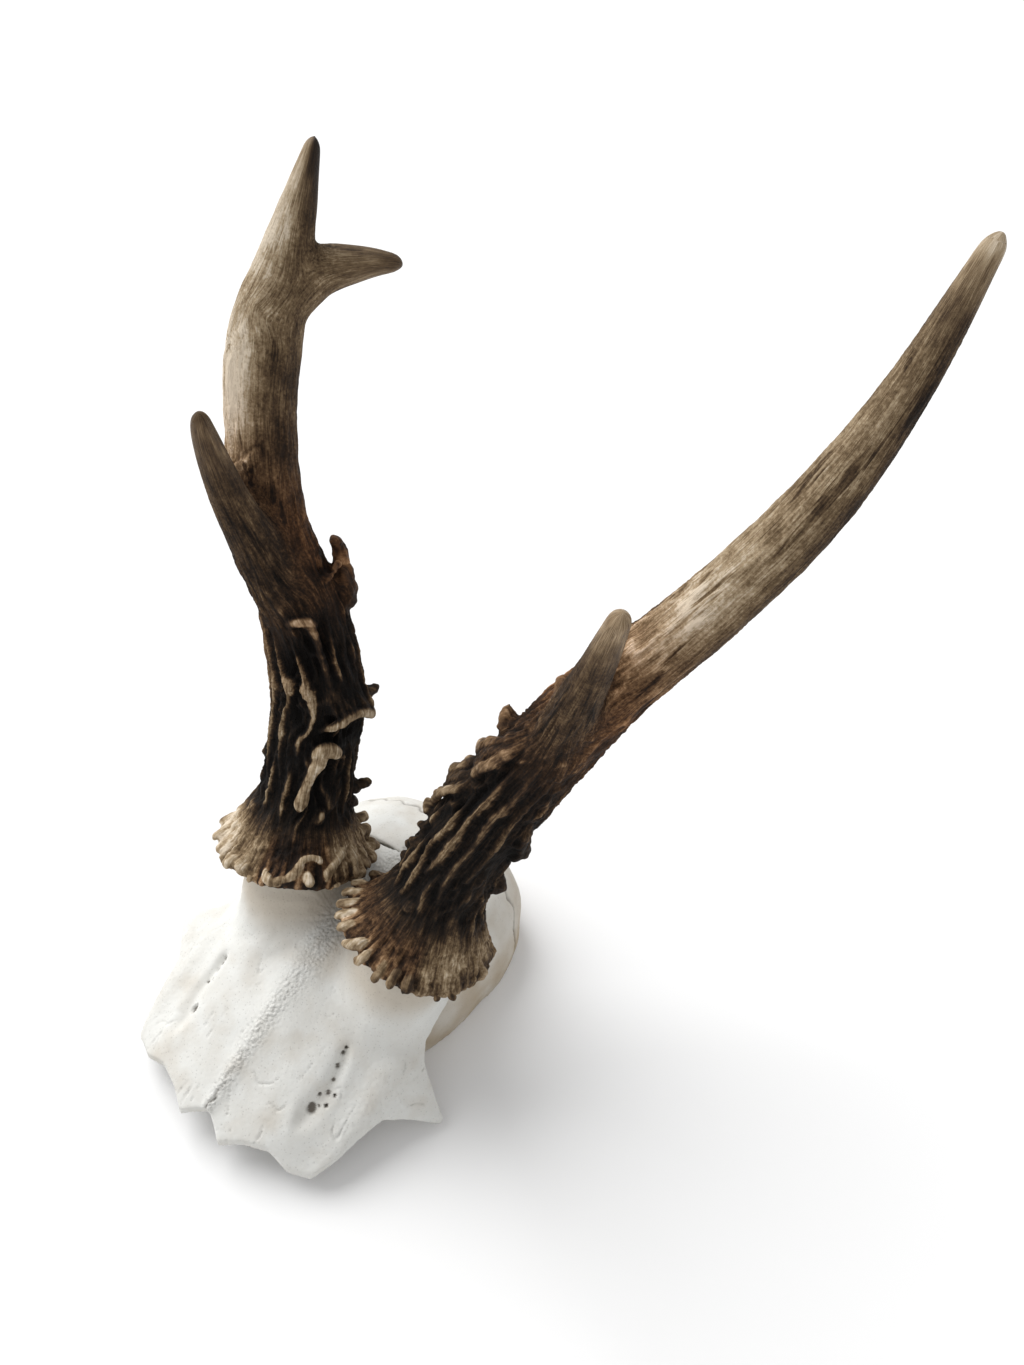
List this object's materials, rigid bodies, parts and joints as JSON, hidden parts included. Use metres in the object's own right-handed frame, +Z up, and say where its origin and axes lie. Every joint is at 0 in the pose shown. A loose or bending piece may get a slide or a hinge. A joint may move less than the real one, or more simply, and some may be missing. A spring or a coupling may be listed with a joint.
{
  "type": "roe deer antlers on skull plate",
  "caption": "Pair of short knobbly deer antlers grown on a sawn, bleached skull cap, standing on its saw cut.",
  "frame": {"origin": "middle of the whole object's footprint, on the plane of the saw cut that it stands on", "axes": "+Z up from the saw cut, +X towards the animal's left, -Y towards its nose"},
  "size_m": [0.1414, 0.1192, 0.2227],
  "materials": {
    "bleached_bone": "matt bleached bone",
    "dark_antler": "rough stained antler",
    "pale_antler": "rubbed satin antler"
  },
  "bodies": {
    "root": {"braincase": "bleached_bone", "left_frontal_bone": "bleached_bone", "right_frontal_bone": "bleached_bone", "left_lower_beam": "dark_antler", "right_lower_beam": "dark_antler", "left_brow_tine": "pale_antler", "left_upper_beam": "pale_antler", "right_brow_tine": "pale_antler", "right_upper_beam": "pale_antler", "right_rear_tine": "pale_antler"}
  },
  "joints": []
}
